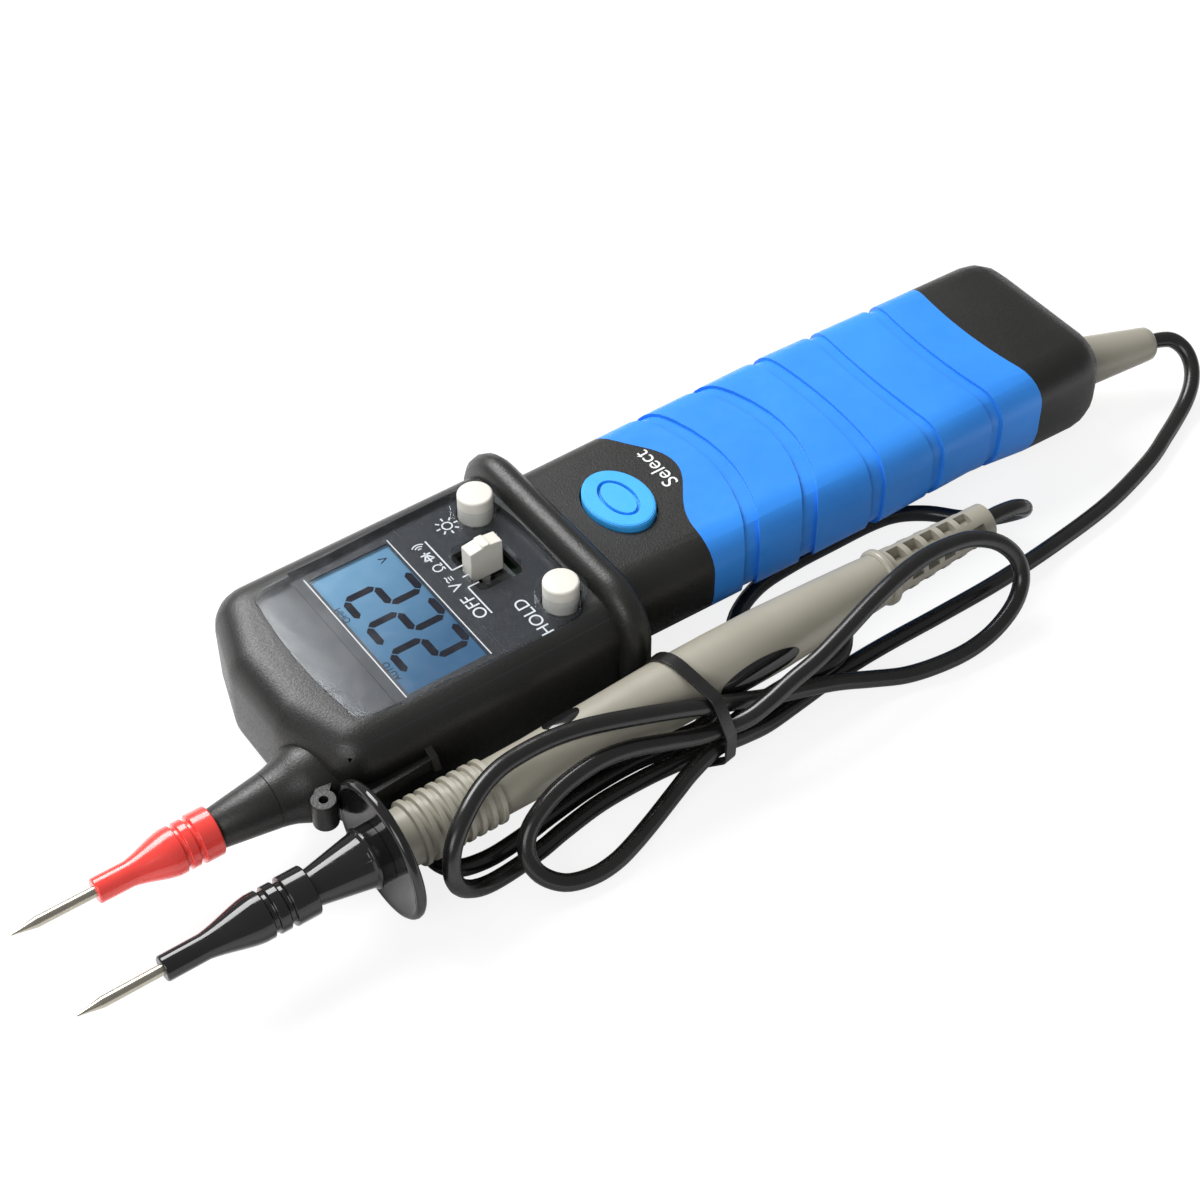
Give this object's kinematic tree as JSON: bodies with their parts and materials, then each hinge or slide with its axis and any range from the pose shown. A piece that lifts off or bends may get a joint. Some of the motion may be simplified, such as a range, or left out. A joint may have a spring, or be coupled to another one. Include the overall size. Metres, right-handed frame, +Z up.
{
  "type": "pen multimeter",
  "caption": "Pen-style multimeter with a display head, fixed red probe, finger barrier, ribbed grip, push buttons, slide switch and a black probe on a bundled lead.",
  "frame": {"origin": "on the surface that the meter lies on, under the middle of the finger barrier", "axes": "+X along the handle towards the end where the lead leaves, -X along the needles, +Z up out of the display, -Y towards the loose probe"},
  "size_m": [0.2726, 0.0844, 0.03],
  "materials": {
    "case_black": "fine grained black moulding",
    "gloss_black": "glossy black",
    "grip_blue": "soft blue overmould",
    "select_blue": "light blue keycap",
    "red": "glossy red sleeve",
    "grey": "warm grey moulding",
    "ivory": "off-white plastic",
    "steel": "bright plated steel",
    "board": "green board",
    "lens": "clear plastic",
    "display": "blue-grey display glass",
    "cord": "smooth black sheath"
  },
  "bodies": {
    "meter": {"upper_case": "case_black", "lower_case": "case_black", "grip_upper": "grip_blue", "grip_lower": "grip_blue", "lens": "lens", "lcd_glass": "display", "lcd_backlight": "ivory", "lcd_frame": "ivory", "lcd_connectors": "gloss_black", "circuit_board": "board", "key_switches": "steel", "buzzer": "gloss_black", "slide_switch": "gloss_black", "probe_barrel": "case_black", "probe_cap": "red", "probe_needle": "steel", "probe_holder": "case_black", "battery_cover": "case_black", "cover_screw": "steel", "cells": "steel", "battery_contacts": "steel", "case_screws": "steel", "strain_relief": "grey", "lead_cord": "cord", "lead_tie": "case_black", "lead_needle": "steel", "lead_cap": "gloss_black", "lead_shaft": "gloss_black", "finger_guard": "gloss_black", "lead_sleeve": "grey", "lead_barrel_upper": "grey", "lead_barrel_lower": "grey", "grip_inlays": "gloss_black", "lead_collar": "grey", "lead_relief": "grey"},
    "hold": {"hold_button": "ivory"},
    "light": {"light_button": "ivory"},
    "select": {"select_button": "select_blue"},
    "switch": {"switch_knob": "ivory"}
  },
  "joints": [
    {"name": "hold_press", "type": "slide", "parent": "meter", "child": "hold", "axis": [0, 0, -1], "range_m": [0, 0.0008], "stiffness_N_per_m": 800},
    {"name": "light_press", "type": "slide", "parent": "meter", "child": "light", "axis": [0, 0, -1], "range_m": [0, 0.0008], "stiffness_N_per_m": 800},
    {"name": "select_press", "type": "slide", "parent": "meter", "child": "select", "axis": [0, 0, -1], "range_m": [0, 0.0008], "stiffness_N_per_m": 800},
    {"name": "switch_slide", "type": "slide", "parent": "meter", "child": "switch", "axis": [0, 1, 0], "range_m": [-0.0026, 0.0026]}
  ]
}
